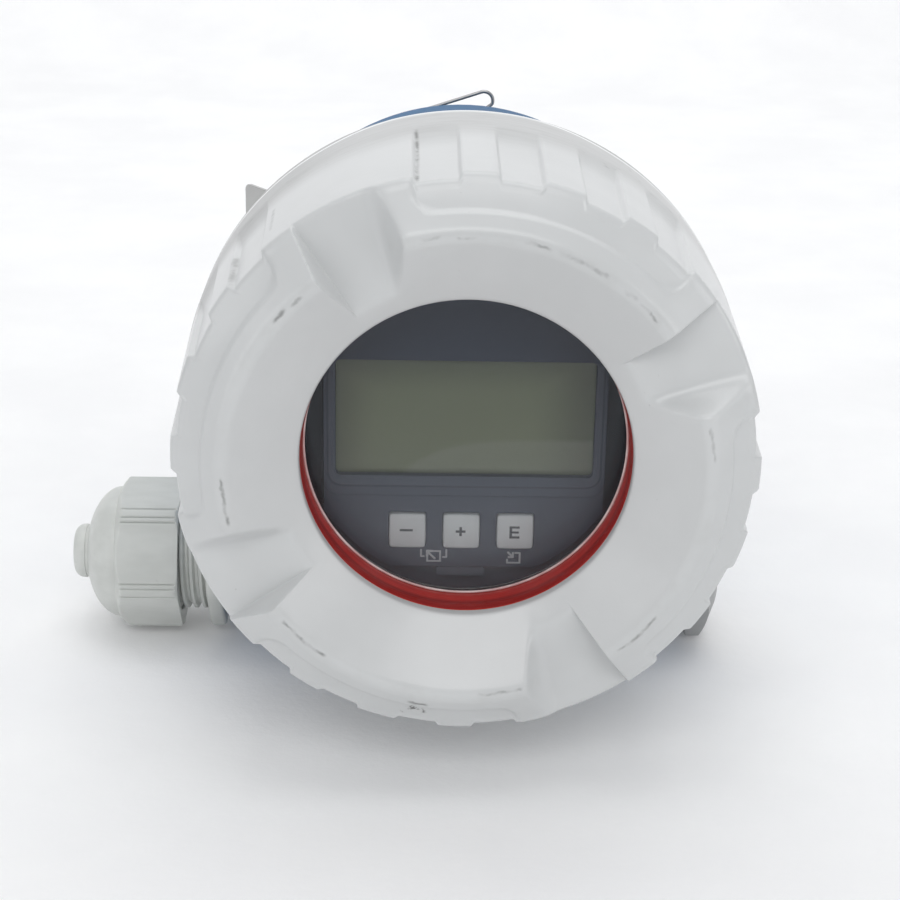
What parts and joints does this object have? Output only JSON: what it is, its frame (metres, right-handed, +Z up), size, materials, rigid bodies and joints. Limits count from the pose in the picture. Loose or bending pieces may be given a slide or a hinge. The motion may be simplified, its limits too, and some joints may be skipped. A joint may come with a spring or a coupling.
{
  "type": "pressure transmitter",
  "caption": "Pressure transmitter with a round windowed display under a notched screw cover, a terminal compartment with cable gland, and a threaded process connection at the back.",
  "frame": {"origin": "centre of the process connection's sealing face, where its thread begins", "axes": "+Y along the process thread away from the housing, X to the right of the display seen from its front, +Z up; it stands on the terminal compartment's cover"},
  "size_m": [0.1408, 0.1758, 0.1209],
  "materials": {
    "cover_paint": "satin",
    "housing_paint": "satin",
    "seal_red": "satin",
    "clear_glass": "gloss",
    "bare_aluminium": "satin",
    "black_rubber": "matte",
    "module_plastic": "matte",
    "lcd": "satin",
    "board": "satin",
    "key_plastic": "satin",
    "potting": "satin",
    "steel": "satin",
    "stainless": "satin",
    "gland_plastic": "satin",
    "plug_plastic": "satin",
    "vent_plastic": "matte",
    "terminal_plastic": "satin"
  },
  "bodies": {
    "neck": {"process_connection": "stainless", "sensor_neck": "stainless", "neck_o_ring": "black_rubber", "sensor_cell": "stainless", "sensor_seal": "black_rubber"},
    "housing": {"housing_body": "housing_paint", "electronics_insert": "potting", "insert_screws": "steel", "display_holder": "module_plastic", "display_shell": "module_plastic", "display_board": "board", "display_bezel": "module_plastic", "lcd_panel": "lcd", "key_mat": "black_rubber", "terminal_block": "terminal_plastic", "terminal_screws": "steel", "gland_body": "gland_plastic", "gland_gasket": "black_rubber", "ground_screw": "steel", "ground_clamp": "steel", "vent_plug": "vent_plastic", "swivel_set_screw": "steel", "tag_plate": "steel", "tag_wire": "steel", "tag_ferrule": "steel"},
    "cover_seal": {"cover_o_ring": "black_rubber"},
    "cover": {"display_cover": "cover_paint", "window_seal": "seal_red", "window_glass": "clear_glass", "glass_ring": "bare_aluminium"},
    "terminal_seal": {"terminal_cover_o_ring": "black_rubber"},
    "terminal_lid": {"terminal_cover": "cover_paint"},
    "gland_core": {"gland_insert": "black_rubber", "gland_plug": "gland_plastic"},
    "gland_cap": {"gland_nut": "gland_plastic"},
    "blind_seal": {"blind_plug_gasket": "black_rubber"},
    "blind": {"blind_plug": "plug_plastic"},
    "minus_button": {"key_minus": "key_plastic"},
    "plus_button": {"key_plus": "key_plastic"},
    "enter_button": {"key_enter": "key_plastic"}
  },
  "joints": [
    {"name": "housing_swivel", "type": "hinge", "parent": "neck", "child": "housing", "pos_m": [0, 0, 0], "axis": [0, 1, 0], "range_deg": [-180, 180]},
    {"name": "cover_travel", "type": "slide", "parent": "housing", "child": "cover_seal", "axis": [0, -1, 0], "range_m": [0, 0.01]},
    {"name": "cover_turn", "type": "hinge", "parent": "cover_seal", "child": "cover", "pos_m": [0, 0, 0], "axis": [0, -1, 0], "range_deg": [0, 1805]},
    {"name": "terminal_travel", "type": "slide", "parent": "housing", "child": "terminal_seal", "axis": [0, 0, -1], "range_m": [0, 0.00525]},
    {"name": "terminal_turn", "type": "hinge", "parent": "terminal_seal", "child": "terminal_lid", "pos_m": [0, -0.0678, -0.06], "axis": [0, 0, -1], "range_deg": [0, 1265]},
    {"name": "gland_travel", "type": "slide", "parent": "housing", "child": "gland_core", "axis": [-1, 0, 0], "range_m": [0, 0.0045]},
    {"name": "gland_turn", "type": "hinge", "parent": "gland_core", "child": "gland_cap", "pos_m": [-0.07, -0.0728, -0.0492], "axis": [-1, 0, 0], "range_deg": [0, 815]},
    {"name": "blind_travel", "type": "slide", "parent": "housing", "child": "blind_seal", "axis": [1, 0, 0], "range_m": [0, 0.009]},
    {"name": "blind_turn", "type": "hinge", "parent": "blind_seal", "child": "blind", "pos_m": [0.05, -0.0728, -0.0492], "axis": [1, 0, 0], "range_deg": [0, 2165]},
    {"name": "minus_press", "type": "slide", "parent": "housing", "child": "minus_button", "axis": [0, 1, 0], "range_m": [0, 0.0005], "stiffness_N_per_m": 2000},
    {"name": "plus_press", "type": "slide", "parent": "housing", "child": "plus_button", "axis": [0, 1, 0], "range_m": [0, 0.0005], "stiffness_N_per_m": 2000},
    {"name": "enter_press", "type": "slide", "parent": "housing", "child": "enter_button", "axis": [0, 1, 0], "range_m": [0, 0.0005], "stiffness_N_per_m": 2000}
  ],
  "couplings": [
    {"joint": "cover_turn", "follows": "cover_travel", "rad_per_m": 3141.6},
    {"joint": "terminal_turn", "follows": "terminal_travel", "rad_per_m": 4188.8},
    {"joint": "gland_turn", "follows": "gland_travel", "rad_per_m": 3141.6},
    {"joint": "blind_turn", "follows": "blind_travel", "rad_per_m": 4188.8}
  ]
}
